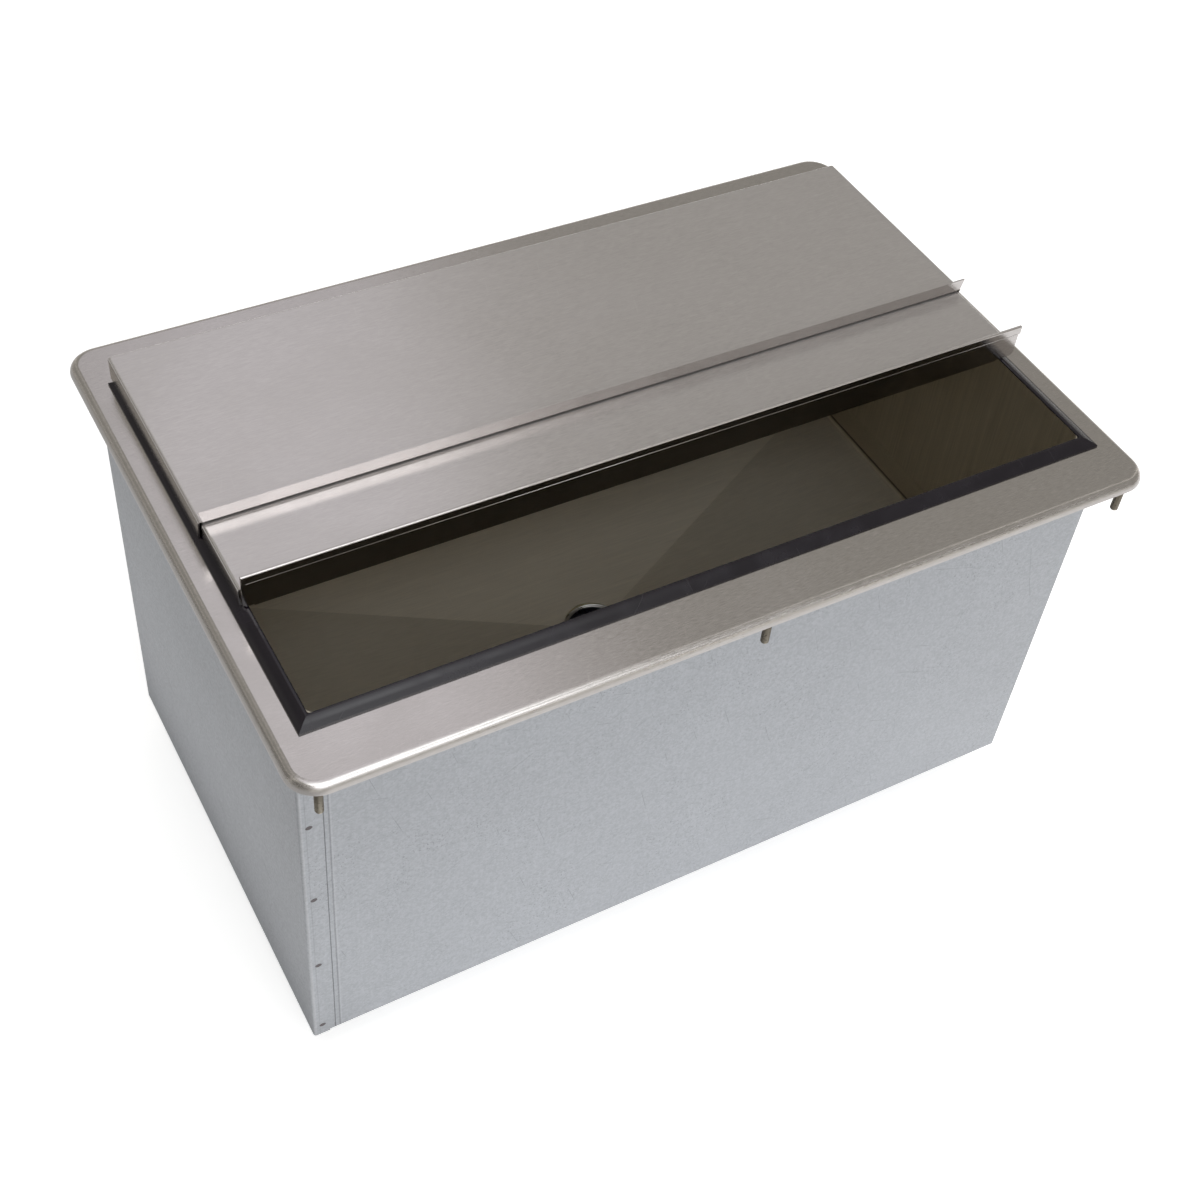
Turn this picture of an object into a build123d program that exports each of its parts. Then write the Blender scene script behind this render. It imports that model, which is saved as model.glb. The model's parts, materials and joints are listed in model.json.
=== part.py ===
from build123d import *
import os

# Drop-in ice bin. A stainless deck hangs in a counter cut-out by its rolled edge, over an insulated
# well with a pitched floor and a drain. Two sheet lids slide front to back on black breaker strips.
# Millimetres. Origin: centre of the rim outline, on the counter that the rolled edge rests on.
# +X right, +Y to the rear, +Z up. The front is the side with the wide deck and the front lid.

# Deck and its rolled edge
rim_width = 711.2
rim_depth = 469.9
rim_corner_radius = 24.0
rim_sheet = 1.2
roll_radius = 7.1           # outer roll of the edge
lip_straight = 0.4          # straight end of the lip below the roll
side_margin = 21.0          # rim edge to the opening, at the left and right
front_margin = 45.75
rear_margin = 49.95
deck_flange_height = 14.0   # flange turned down round the opening
deck_hole_radius = 3.4

# Breaker strips: a plastic extrusion that separates the deck from the cold well
strip_cover = 3.4           # how far the strip reaches over the deck flange
strip_step = 1.3            # thickness of the outer edge on the deck
strip_face_run = 8.6        # width of the sloping face
strip_ridge_width = 1.3
strip_shoulder_radius = 1.3 # bead over the top edge of the well
strip_ridge_height = 5.5    # ridge above the deck, the runner of the front lid
strip_crown_height = 0.45   # swell of the sloping face
strip_wall = 1.5
strip_leg = 1.4
strip_barb = 1.0
strip_fit = 0.1             # clip legs to the deck flange and to the well
strip_inner_leg = 6.0       # clip leg behind the well, below the deck
mitre_gap = 0.16

# Well: a wall wrap and a pitched floor pan, welded edge to edge
well_sheet = 1.0
well_corner_radius = 5.0    # plan corners and floor coves
end_wall_depth = 208.5      # deck top to the floor at the left and right walls
end_fall = 23.0             # fall of the floor from those walls to the drain
crease_inset = 33.0         # where the floor's creases meet those walls, from their corners
pan_upstand = 28.5          # weld between wrap and pan, above the floor at those walls

# Drain
drain_left = 1.5            # drain to the left of the opening's middle
drain_forward = 15.7        # drain in front of the opening's middle
drain_rise = 1.5            # ring above the lowest point of the floor
pipe_radius = 24.15         # pipe of 1 1/2 inch
pipe_wall = 3.7
pipe_chamfer = 1.0
pipe_top_depth = 14.0       # coupling top to the pipe end
pipe_tail = 38.0            # pipe below the shell
thread_step = 0.3           # the hose thread's crests lie inside the pipe's outside
thread_length = 25.0
coupling_fit = 0.1
coupling_wall = 2.9
coupling_length = 30.0
coupling_chamfer = 0.45
grommet_reach = 3.2         # grommet lips beyond the hole
grommet_wall = 2.8
grommet_lip = 1.6

# Outer shell: two L-shaped galvanised panels and a bottom tray
shell_sheet = 0.9
shell_side_out = 7.3        # opening edge to the outer face, at the sides
shell_front_out = 5.5
shell_rear_out = 8.2
shell_depth = 376.0         # deck top to the underside
shell_bend_radius = 2.2
lap_width = 18.0            # lap flange over the next panel
lap_bottom_notch = 9.0
shell_top_gap = 0.3         # top flange to the deck flange
tray_upstand = 15.0
tray_fit = 0.1

# Insulation
foam_fit = 0.2
foam_top_gap = 1.0          # foam top to the strip barbs

# Hold-down studs, welded under the deck
stud_radius = 3.175
stud_inset = 11.2           # from the front and rear edges
stud_end_inset = 19.1       # from the left and right edges
stud_middle_right = 7.4     # middle studs, to the right of the rim's middle
stud_length = 30.1          # below the counter
stud_chamfer = 0.8
stud_flange_width = 1.0
stud_flange_height = 1.0

# Lids
lid_sheet = 1.2
lid_gap = 0.3               # running clearance to the strips
lid_side_gap = 3.0          # rear lid to the opening's edge, each side
rear_lid_overhang = 2.8     # rear lid past the opening's rear edge
rear_lid_past_middle = 4.1  # its lip in front of the opening's middle
rear_lid_flange = 20.0
rear_lid_lip = 10.1         # upstand above the lid
lid_bend_radius = 1.8
lid_flange_lean = 4.0       # how far the front end of a flange leans back
lip_end_lean = 2.5          # how far the lip's ends lean in towards its foot
nest_side_gap = 0.9         # front lid flange to rear lid flange, each side
nest_top_gap = 1.4          # front lid to the rear lid above it
lid_overlap = 20.4          # front lid under the rear lid when closed
closed_gap = 0.2            # closed front lid to the front strip
front_lid_open = 102.3      # how far the front lid is slid back at rest
front_lid_return = 7.5      # hem that rides on the ridge
front_bend_radius = 2.4
stop_tongue = 1.5           # front flange below the hems, stops on the front ridge
stop_tongue_inset = 4.0     # tongue end to the side strips
plate_rise = 15.6           # handle plate above the lid
plate_ridge_gap = 1.3       # handle plate over the front ridge
plate_left_inset = 1.4      # its left end inside the lid's left side
plate_right_reach = 5.5     # its right end past the lid's right side
plate_corner_cut = 2.5
hem_height = 7.2
hem_gap = 0.3

# Working allowances
beyond = 1.0                # how far a cutting block runs past what it cuts
near = 0.01                 # how closely a found edge has to lie on its plane

# Places worked out from the sizes above
deck_top = roll_radius + lip_straight
deck_under = deck_top - rim_sheet
opening_width = rim_width - 2 * side_margin
opening_depth = rim_depth - front_margin - rear_margin
opening_front = -rim_depth / 2 + front_margin
opening_rear = rim_depth / 2 - rear_margin
opening_mid = (opening_front + opening_rear) / 2
strip_width = strip_face_run + strip_ridge_width + strip_shoulder_radius
strip_foot = -deck_flange_height - strip_barb - strip_leg
clip_in = strip_cover + strip_fit
well_width = opening_width - 2 * strip_width
well_depth = opening_depth - 2 * strip_width
well_front = opening_front + strip_width
well_rear = opening_rear - strip_width
well_top = deck_top + strip_ridge_height - strip_shoulder_radius
end_wall_z = deck_top - end_wall_depth
valley_z = end_wall_z - end_fall
pan_top = end_wall_z + pan_upstand
drain_x = -drain_left
drain_y = opening_mid - drain_forward
shell_left = -opening_width / 2 - shell_side_out
shell_right = -shell_left
shell_front = opening_front - shell_front_out
shell_rear = opening_rear + shell_rear_out
shell_bottom_z = deck_top - shell_depth
coupling_top = valley_z + drain_rise
coupling_bore_radius = pipe_radius + coupling_fit
coupling_radius = coupling_bore_radius + coupling_wall
grommet_hole_radius = pipe_radius + grommet_wall
foam_top = deck_top + strip_foot - foam_top_gap
rear_lid_front = opening_mid - rear_lid_past_middle
rear_lid_rear = opening_rear + rear_lid_overhang
rear_lid_half = opening_width / 2 - lid_side_gap
front_lid_half = rear_lid_half - lid_sheet - nest_side_gap
front_lid_closed = well_front + closed_gap
front_lid_depth = rear_lid_front + lid_overlap - front_lid_closed
front_lid_front = front_lid_closed + front_lid_open


def block(x_span, y_span, z_span):
    """A box between the two limits on each axis."""
    size = [high - low for low, high in (x_span, y_span, z_span)]
    middle = [(low + high) / 2 for low, high in (x_span, y_span, z_span)]
    return Pos(*middle) * Box(*size)


def plan_block(width, depth, radius, z_low, z_high, mid_y=0.0):
    """An upright block with rounded plan corners, centred on x = 0 and y = mid_y."""
    outline = RectangleRounded(width, depth, radius)
    return Pos(0, mid_y, z_low) * extrude(outline, z_high - z_low)


def on_side(section, length):
    """Stands a section (x inward, y up) on the XZ plane and runs it along Y, centred."""
    upright = Plane.XZ * section
    return extrude(upright, length / 2, both=True)


def on_front(section, length):
    """Stands a section (x to the rear, y up) on the YZ plane and runs it along X, centred."""
    upright = Plane.YZ * section
    return extrude(upright, length / 2, both=True)


# Deck


def edge_section():
    """The rolled edge: a short lip and a quarter roll, x inward from the rim, y up from the deck."""
    roll = (roll_radius, -roll_radius)
    lip_end = -deck_top
    edges = [
        Line((0, lip_end), (0, -roll_radius)),
        CenterArc(roll, roll_radius, 90, 90),
        Line((roll_radius, 0), (roll_radius, -rim_sheet)),
        CenterArc(roll, roll_radius - rim_sheet, 90, 90),
        Line((rim_sheet, -roll_radius), (rim_sheet, lip_end)),
        Line((rim_sheet, lip_end), (0, lip_end)),
    ]
    return make_face(edges)


def top_rim():
    """Deck, rolled edge all round, and the flange turned down round the opening."""
    section = edge_section()
    side_run = on_side(section, rim_depth - 2 * rim_corner_radius)
    front_run = on_side(section, rim_width - 2 * rim_corner_radius)
    upright = Pos(-rim_corner_radius, 0, 0) * (Plane.XZ * section)
    corner = revolve(upright, Axis.Z, 90)
    corner_x = rim_width / 2 - rim_corner_radius
    corner_y = rim_depth / 2 - rim_corner_radius
    rim = plan_block(
        rim_width - 2 * roll_radius,
        rim_depth - 2 * roll_radius,
        rim_corner_radius - roll_radius,
        -rim_sheet,
        0,
    )
    for turn in (0, 180):
        rim += Rot(0, 0, turn) * Pos(-rim_width / 2, 0, 0) * side_run
        rim += Rot(0, 0, turn + 90) * Pos(-rim_depth / 2, 0, 0) * front_run
        rim += Rot(0, 0, turn) * Pos(-corner_x, -corner_y, 0) * corner
        rim += Rot(0, 0, turn) * Pos(corner_x, -corner_y, 0) * Rot(0, 0, 90) * corner
    hole_width = opening_width - 2 * strip_cover
    hole_depth = opening_depth - 2 * strip_cover
    flange = plan_block(
        hole_width + 2 * rim_sheet,
        hole_depth + 2 * rim_sheet,
        deck_hole_radius + rim_sheet,
        -deck_flange_height,
        0,
        opening_mid,
    )
    hole = plan_block(
        hole_width, hole_depth, deck_hole_radius, -deck_flange_height - beyond, beyond, opening_mid
    )
    return Pos(0, 0, deck_top) * (rim + flange - hole)


def hold_down_studs():
    """Six plain studs, each standing down from a weld flange on the deck's underside."""
    upward = (Align.CENTER, Align.CENTER, Align.MIN)
    rod = Pos(0, 0, -stud_length) * Cylinder(stud_radius, deck_under + stud_length, align=upward)
    rod = chamfer(rod.edges().group_by(Axis.Z)[0], stud_chamfer)
    foot = Cylinder(stud_radius + stud_flange_width, stud_flange_height, align=upward)
    stud = rod + Pos(0, 0, deck_under - stud_flange_height) * foot
    stud_x = rim_width / 2 - stud_end_inset
    stud_y = rim_depth / 2 - stud_inset
    studs = []
    for y in (-stud_y, stud_y):
        for x in (-stud_x, stud_middle_right, stud_x):
            studs += (Pos(x, y, 0) * stud).solids()
    return Compound(children=studs)


# Breaker strips


def strip_section():
    """The extrusion: x inward from the opening's edge, y up from the deck."""
    ridge_in = strip_face_run + strip_ridge_width
    leg_inner = strip_width - well_sheet - strip_fit
    leg_outer = leg_inner - strip_leg
    middle = (strip_face_run / 2, (strip_step + strip_ridge_height) / 2 + strip_crown_height)
    shoulder_z = strip_ridge_height - strip_shoulder_radius
    web_in = clip_in + strip_leg
    barb_tip = clip_in - strip_barb
    barb_top = -deck_flange_height - strip_fit
    points = [
        (strip_width, shoulder_z),
        (leg_inner, shoulder_z),
        (leg_inner, -strip_inner_leg),
        (leg_outer, -strip_inner_leg),
        (leg_outer, strip_ridge_height - strip_wall),
        (web_in, strip_height(web_in) - strip_wall),
        (web_in, barb_top - strip_barb / 2),
        (clip_in, strip_foot),
        (barb_tip, barb_top - strip_barb),
        (barb_tip, barb_top),
        (clip_in, barb_top),
        (clip_in, 0),
        (0, 0),
        (0, strip_step),
    ]
    top = [
        ThreePointArc((0, strip_step), middle, (strip_face_run, strip_ridge_height)).edge(),
        Line((strip_face_run, strip_ridge_height), (ridge_in, strip_ridge_height)).edge(),
        CenterArc((ridge_in, shoulder_z), strip_shoulder_radius, 0, 90).edge(),
    ]
    return make_face(Polyline(*points).edges() + top)


def strip_height(distance_in):
    """Height of the strip's face above the deck, a given distance in from its outer edge."""
    share = distance_in / strip_face_run
    crown = 4 * strip_crown_height * share * (1 - share)
    return strip_step + (strip_ridge_height - strip_step) * share + crown


def breaker_strip(length):
    """One strip along X with both ends mitred, its outer edge on y = 0."""
    half = length / 2 - mitre_gap / 2
    deep = strip_width + beyond
    mitred = make_face(
        Polyline((-half, 0), (half, 0), (half - deep, deep), (-half + deep, deep), close=True).edges()
    )
    low = strip_foot - beyond
    limit = Pos(0, 0, low) * extrude(mitred, strip_ridge_height + beyond - low)
    strip = on_front(strip_section(), length) & limit
    leg_half = length / 2 - clip_in - deck_hole_radius
    for side in (-1, 1):
        x_span = sorted((side * leg_half, side * (half + beyond)))
        strip -= block(x_span, (-beyond, clip_in + strip_leg + strip_fit), (low, 0))
    return strip


# Well


def liner_wall_wrap():
    """The four upright well walls; the breaker strips sit on their top edge."""
    outer = plan_block(
        well_width + 2 * well_sheet,
        well_depth + 2 * well_sheet,
        well_corner_radius + well_sheet,
        pan_top,
        well_top,
        opening_mid,
    )
    bore = plan_block(
        well_width, well_depth, well_corner_radius, pan_top - beyond, well_top + beyond, opening_mid
    )
    return outer - bore


def pitched_block(grow, coved=True):
    """The well's inside below the weld, grown by a sheet thickness: four facets fall to the drain."""
    half_x = well_width / 2 + grow
    y_front = well_front - grow
    y_rear = well_rear + grow
    low = valley_z - grow
    left_slope = end_fall / (well_width / 2 + drain_x)
    right_slope = end_fall / (well_width / 2 - drain_x)
    front_slope = end_fall / (drain_y - well_front - crease_inset)
    rear_slope = end_fall / (well_rear - drain_y - crease_inset)
    across = make_face(
        Polyline(
            (-half_x, pan_top),
            (-half_x, low + left_slope * (half_x + drain_x)),
            (drain_x, low),
            (half_x, low + right_slope * (half_x - drain_x)),
            (half_x, pan_top),
            close=True,
        ).edges()
    )
    along = make_face(
        Polyline(
            (y_front, pan_top),
            (y_front, low + front_slope * (drain_y - y_front)),
            (drain_y, low),
            (y_rear, low + rear_slope * (y_rear - drain_y)),
            (y_rear, pan_top),
            close=True,
        ).edges()
    )
    body = on_side(across, 2 * rim_depth) & on_front(along, 2 * rim_width)

    def on_wall(edge):
        mid = edge.center()
        on_end = abs(abs(mid.X) - half_x) < near
        on_long = abs(mid.Y - y_front) < near or abs(mid.Y - y_rear) < near
        return (on_end or on_long) and mid.Z < pan_top - near

    return fillet(body.edges().filter_by(on_wall), well_corner_radius + grow) if coved else body


def liner_floor_pan():
    """The pitched floor with coved edges, and the hole that the drain coupling is welded into."""
    pan = pitched_block(well_sheet) - pitched_block(0)
    return pan - drain_bore(coupling_radius, valley_z - coupling_length, pan_top)


# Drain


def turned(points):
    """A turned part: the outline (radius, height) swept round the drain axis."""
    section = make_face(Polyline(*points, close=True).edges())
    return Pos(drain_x, drain_y, 0) * revolve(Plane.XZ * section, Axis.Z, 360)


def drain_bore(radius, z_low, z_high):
    """A plain cylinder on the drain axis between two levels."""
    return Pos(drain_x, drain_y, (z_low + z_high) / 2) * Cylinder(radius, z_high - z_low)


def drain_coupling():
    """The ring in the floor, with a softened mouth."""
    low = coupling_top - coupling_length
    return turned(
        [
            (coupling_bore_radius, low),
            (coupling_radius, low),
            (coupling_radius, coupling_top),
            (coupling_bore_radius + coupling_chamfer, coupling_top),
            (coupling_bore_radius, coupling_top - coupling_chamfer),
        ]
    )


def drain_tailpipe():
    """The pipe from the coupling out of the shell, with a zone for the hose thread at its end."""
    bore = pipe_radius - pipe_wall
    thread_radius = pipe_radius - thread_step
    top = coupling_top - pipe_top_depth
    low = shell_bottom_z - pipe_tail
    return turned(
        [
            (bore, low),
            (thread_radius - pipe_chamfer, low),
            (thread_radius, low + pipe_chamfer),
            (thread_radius, low + thread_length),
            (pipe_radius, low + thread_length),
            (pipe_radius, top),
            (bore, top),
        ]
    )


def drain_grommet():
    """The rubber ring that seals the pipe in the bottom tray."""
    inner = pipe_radius + coupling_fit
    outer = grommet_hole_radius + grommet_reach
    sheet_low = shell_bottom_z
    sheet_high = shell_bottom_z + shell_sheet
    return turned(
        [
            (inner, sheet_low - grommet_lip),
            (outer, sheet_low - grommet_lip),
            (outer, sheet_low),
            (grommet_hole_radius, sheet_low),
            (grommet_hole_radius, sheet_high),
            (outer, sheet_high),
            (outer, sheet_high + grommet_lip),
            (inner, sheet_high + grommet_lip),
        ]
    )


# Outer shell


def bent_wall(points):
    """Upright walls of bent sheet, their outer faces on the right-hand side of the points' path."""
    path = FilletPolyline(*points, radius=shell_bend_radius)
    outline = offset(path, shell_sheet, side=Side.LEFT)
    height = deck_under - shell_bottom_z
    return Pos(0, 0, shell_bottom_z) * extrude(make_face(outline.edges()), height)


def top_flange(x_span, y_span):
    """A strip of the shell turned in under the deck."""
    return block(x_span, y_span, (deck_under - shell_sheet, deck_under))


def flange_limits():
    """Inner limits of the shell's top flanges, a gap short of the deck's own flange."""
    inset = strip_cover - rim_sheet - shell_top_gap
    return opening_width / 2 - inset, opening_front + inset, opening_rear - inset


def shell_front_right():
    """Front and right walls in one bent sheet; its free ends lie under the other panel's laps."""
    side, front = flange_limits()[:2]
    left_end = shell_left + shell_bend_radius + tray_fit
    rear_end = shell_rear - shell_bend_radius - tray_fit
    wall = bent_wall([(left_end, shell_front), (shell_right, shell_front), (shell_right, rear_end)])
    front_flange = (shell_top_gap - side, shell_right - shell_bend_radius)
    wall += top_flange(front_flange, (shell_front + shell_sheet / 2, front))
    wall += top_flange((side, shell_right - shell_sheet / 2), (shell_front + shell_bend_radius, rear_end))
    return wall


def shell_rear_left():
    """Rear and left walls in one bent sheet, with a lap flange over each end of the other panel."""
    side, _, rear = flange_limits()
    lap_front = shell_front - shell_sheet
    lap_right = shell_right + shell_sheet
    lap_end = shell_left + lap_width
    wall = bent_wall(
        [
            (lap_right, shell_rear - lap_width),
            (lap_right, shell_rear),
            (shell_left, shell_rear),
            (shell_left, lap_front),
            (lap_end, lap_front),
        ]
    )
    left_flange = (shell_front + shell_sheet + tray_fit, shell_rear - shell_bend_radius)
    rear_flange = (shell_left + shell_bend_radius, side - shell_top_gap)
    wall += top_flange((shell_left + shell_sheet / 2, -side), left_flange)
    wall += top_flange(rear_flange, (rear, shell_rear - shell_sheet / 2))
    notch_x = (lap_end - lap_bottom_notch / 2, lap_end + beyond)
    notch_y = (lap_front - beyond, lap_front + shell_sheet)
    return wall - block(notch_x, notch_y, (shell_bottom_z - beyond, shell_bottom_z + lap_bottom_notch))


def shell_bottom():
    """The bottom tray: its upstands are spot welded inside the walls."""
    inset = shell_sheet + tray_fit
    x_span = (shell_left + inset, shell_right - inset)
    y_span = (shell_front + inset, shell_rear - inset)
    low = shell_bottom_z
    past = (low - beyond, low + tray_upstand + beyond)
    tray = block(x_span, y_span, (low, low + tray_upstand))
    tray -= block(
        (x_span[0] + shell_sheet, x_span[1] - shell_sheet),
        (y_span[0] + shell_sheet, y_span[1] - shell_sheet),
        (low + shell_sheet, past[1]),
    )
    notch = 2 * shell_bend_radius
    for x in x_span:
        for y in y_span:
            tray -= block((x - notch, x + notch), (y - notch, y + notch), past)
    return tray - drain_bore(grommet_hole_radius, *past)


# Insulation


def foam_limit(x_span, y_span):
    """The space inside the shell, its corners rounded to clear the bends."""
    width = x_span[1] - x_span[0]
    depth = y_span[1] - y_span[0]
    mid_y = (y_span[0] + y_span[1]) / 2
    return plan_block(width, depth, shell_bend_radius, shell_bottom_z, foam_top, mid_y)


def foam_boards():
    """Foam on four sides of the well and below it, bedded on the shell and the well."""
    shell_in = shell_sheet + foam_fit
    outer_x = (shell_left + shell_in, shell_right - shell_in)
    outer_y = (shell_front + shell_in, shell_rear - shell_in)
    well_out = well_sheet + foam_fit
    inner_x = (-well_width / 2 - well_out, well_width / 2 + well_out)
    inner_y = (well_front - well_out, well_rear + well_out)
    tray_in = shell_sheet + tray_fit + shell_sheet + foam_fit
    low_x = (shell_left + tray_in, shell_right - tray_in)
    low_y = (shell_front + tray_in, shell_rear - tray_in)
    floor = shell_bottom_z + shell_sheet + foam_fit
    ledge = shell_bottom_z + tray_upstand + foam_fit
    base = block(low_x, low_y, (floor, ledge)) + block(outer_x, outer_y, (ledge, pan_top))
    base &= foam_limit(outer_x, outer_y)
    base -= pitched_block(well_out, coved=False)
    base -= drain_bore(coupling_radius + foam_fit, floor, pan_top)
    grommet_top = shell_bottom_z + shell_sheet + grommet_lip + foam_fit
    base -= drain_bore(grommet_hole_radius + grommet_reach + foam_fit, floor, grommet_top)
    sides = (pan_top, foam_top)
    limit = foam_limit(outer_x, outer_y)
    return {
        "foam_bottom": base,
        "foam_front": block(outer_x, (outer_y[0], inner_y[0]), sides) & limit,
        "foam_rear": block(outer_x, (inner_y[1], outer_y[1]), sides) & limit,
        "foam_left": block((outer_x[0], inner_x[0]), inner_y, sides),
        "foam_right": block((inner_x[1], outer_x[1]), inner_y, sides),
    }


# Lids


def sheet_section(points, radius, thickness):
    """A bent sheet's section: outer faces through the points, material on the left of the path."""
    path = FilletPolyline(*points, radius=radius)
    return make_face(offset(path, thickness, side=Side.LEFT).edges())


def cut_corner(points, y_span):
    """A wedge with its outline (x, z) on the front, for cutting a plate's corner."""
    outline = make_face(Polyline(*points, close=True).edges())
    depth = y_span[1] - y_span[0]
    return Pos(0, y_span[1], 0) * extrude(Plane.XZ * outline, depth)


def rear_lid_levels():
    """Top of the rear lid and the bottoms of its side and rear flanges, from the strip's shape."""
    low = deck_top + strip_height(lid_side_gap + lid_sheet) + lid_gap
    rear_low = deck_top + strip_ridge_height + lid_gap
    return low + rear_lid_flange, low, rear_low


def rear_lid_pan():
    """The rear lid: side and rear flanges turned down, finger lip turned up at the front."""
    top, low, rear_low = rear_lid_levels()
    half = rear_lid_half
    front = rear_lid_front
    rear = rear_lid_rear
    bend = lid_bend_radius
    inner_bend = bend - lid_sheet
    lip_back = front + lid_sheet
    lip_root = top + inner_bend
    lip_top = top + rear_lid_lip
    flange_front = front + bend
    flange_rear = rear - bend
    across = sheet_section([(half, low), (half, top), (-half, top), (-half, low)], bend, lid_sheet)
    pan = Pos(0, (flange_front + flange_rear) / 2, 0) * on_side(across, flange_rear - flange_front)
    lip_bend = make_face(
        [
            CenterArc((flange_front, lip_root), bend, 180, 90).edge(),
            Line((flange_front, top - lid_sheet), (flange_front, top)).edge(),
            CenterArc((flange_front, lip_root), inner_bend, 180, 90).edge(),
            Line((lip_back, lip_root), (front, lip_root)).edge(),
        ]
    )
    pan += on_front(lip_bend, 2 * (half - bend))
    lip = block((-half, half), (front, lip_back), (lip_root, lip_top))
    for side in (-1, 1):
        lean_in = [(side * half, lip_root), (side * (half - lip_end_lean), lip_root), (side * half, lip_top)]
        lip -= cut_corner(lean_in, (front - beyond, lip_back + beyond))
    pan += lip
    rear_bend = sheet_section([(rear, rear_low), (rear, top), (flange_rear - beyond, top)], bend, lid_sheet)
    pan += on_front(rear_bend, 2 * (half - bend))
    lean = make_face(
        Polyline(
            (flange_front - beyond, low - beyond),
            (flange_front + lid_flange_lean, low - beyond),
            (flange_front, top - bend),
            (flange_front - beyond, top - bend),
            close=True,
        ).edges()
    )
    return pan - on_front(lean, 2 * rim_width)


def front_lid_levels():
    """Top of the front lid and the underside of the hems that ride on the ridges."""
    top = rear_lid_levels()[0] - lid_sheet - nest_top_gap
    return top, deck_top + strip_ridge_height + lid_gap


def front_lid_pan():
    """The front lid: hemmed side flanges that ride on the ridges, front and rear flanges."""
    top, low = front_lid_levels()
    half = front_lid_half
    front = front_lid_front
    rear = front + front_lid_depth
    bend = front_bend_radius
    hem_in = half - front_lid_return
    across = sheet_section(
        [(hem_in, low), (half, low), (half, top), (-half, top), (-half, low), (-hem_in, low)],
        bend,
        lid_sheet,
    )
    pan = Pos(0, (front + rear) / 2, 0) * on_side(across, front_lid_depth - 2 * bend)
    tongue = low - stop_tongue
    along = sheet_section([(rear, low), (rear, top), (front, top), (front, tongue)], bend, lid_sheet)
    cross = on_front(along, 2 * (half - bend))
    tongue_half = well_width / 2 - stop_tongue_inset
    for side in (-1, 1):
        x_span = sorted((side * tongue_half, side * (half + beyond)))
        cross -= block(x_span, (front - beyond, front + bend), (tongue - beyond, low + bend))
    return pan + cross


def front_lid_handle_plate():
    """The plate across the front lid, hemmed at the top, with its lower corners cut."""
    top = front_lid_levels()[0]
    left = -front_lid_half + plate_left_inset
    right = front_lid_half + plate_right_reach
    back = front_lid_front
    face = back - lid_sheet
    fold = lid_sheet + hem_gap / 2
    hem_front = back - 2 * fold
    rise = top + plate_rise
    centre = (back - fold, rise - fold)
    bottom = deck_top + strip_ridge_height + plate_ridge_gap
    hem_low = rise - hem_height
    section = make_face(
        [
            Line((back, bottom), (back, centre[1])).edge(),
            CenterArc(centre, fold, 0, 180).edge(),
            Line((hem_front, centre[1]), (hem_front, hem_low)).edge(),
            Line((hem_front, hem_low), (hem_front + lid_sheet, hem_low)).edge(),
            Line((hem_front + lid_sheet, hem_low), (hem_front + lid_sheet, centre[1])).edge(),
            CenterArc(centre, hem_gap / 2, 0, 180).edge(),
            Line((face, centre[1]), (face, bottom)).edge(),
            Line((face, bottom), (back, bottom)).edge(),
        ]
    )
    plate = Pos((left + right) / 2, 0, 0) * on_front(section, right - left)
    for end, inward in ((left, plate_corner_cut), (right, -plate_corner_cut)):
        corner = [(end, bottom), (end + inward, bottom), (end, bottom + plate_corner_cut)]
        plate -= cut_corner(corner, (hem_front - beyond, back + beyond))
    return plate


def assembly():
    """Every node by name."""
    long_strip = breaker_strip(opening_width)
    short_strip = breaker_strip(opening_depth)
    half_width = opening_width / 2
    nodes = {
        "top_rim": top_rim(),
        "hold_down_studs": hold_down_studs(),
        "breaker_strip_front": Pos(0, opening_front, deck_top) * long_strip,
        "breaker_strip_rear": Pos(0, opening_rear, deck_top) * Rot(0, 0, 180) * long_strip,
        "breaker_strip_left": Pos(-half_width, opening_mid, deck_top) * Rot(0, 0, -90) * short_strip,
        "breaker_strip_right": Pos(half_width, opening_mid, deck_top) * Rot(0, 0, 90) * short_strip,
        "liner_wall_wrap": liner_wall_wrap(),
        "liner_floor_pan": liner_floor_pan(),
        "drain_coupling": drain_coupling(),
        "drain_tailpipe": drain_tailpipe(),
        "drain_grommet": drain_grommet(),
        "shell_front_right": shell_front_right(),
        "shell_rear_left": shell_rear_left(),
        "shell_bottom": shell_bottom(),
        "rear_lid_pan": rear_lid_pan(),
        "front_lid_pan": front_lid_pan(),
        "front_lid_handle_plate": front_lid_handle_plate(),
    }
    nodes.update(foam_boards())
    return nodes


os.makedirs("parts", exist_ok=True)
for name, shape in assembly().items():
    export_step(shape, f"parts/{name}.step")
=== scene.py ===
import json
import math

import bmesh
import bpy
from mathutils import Matrix, Vector


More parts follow.
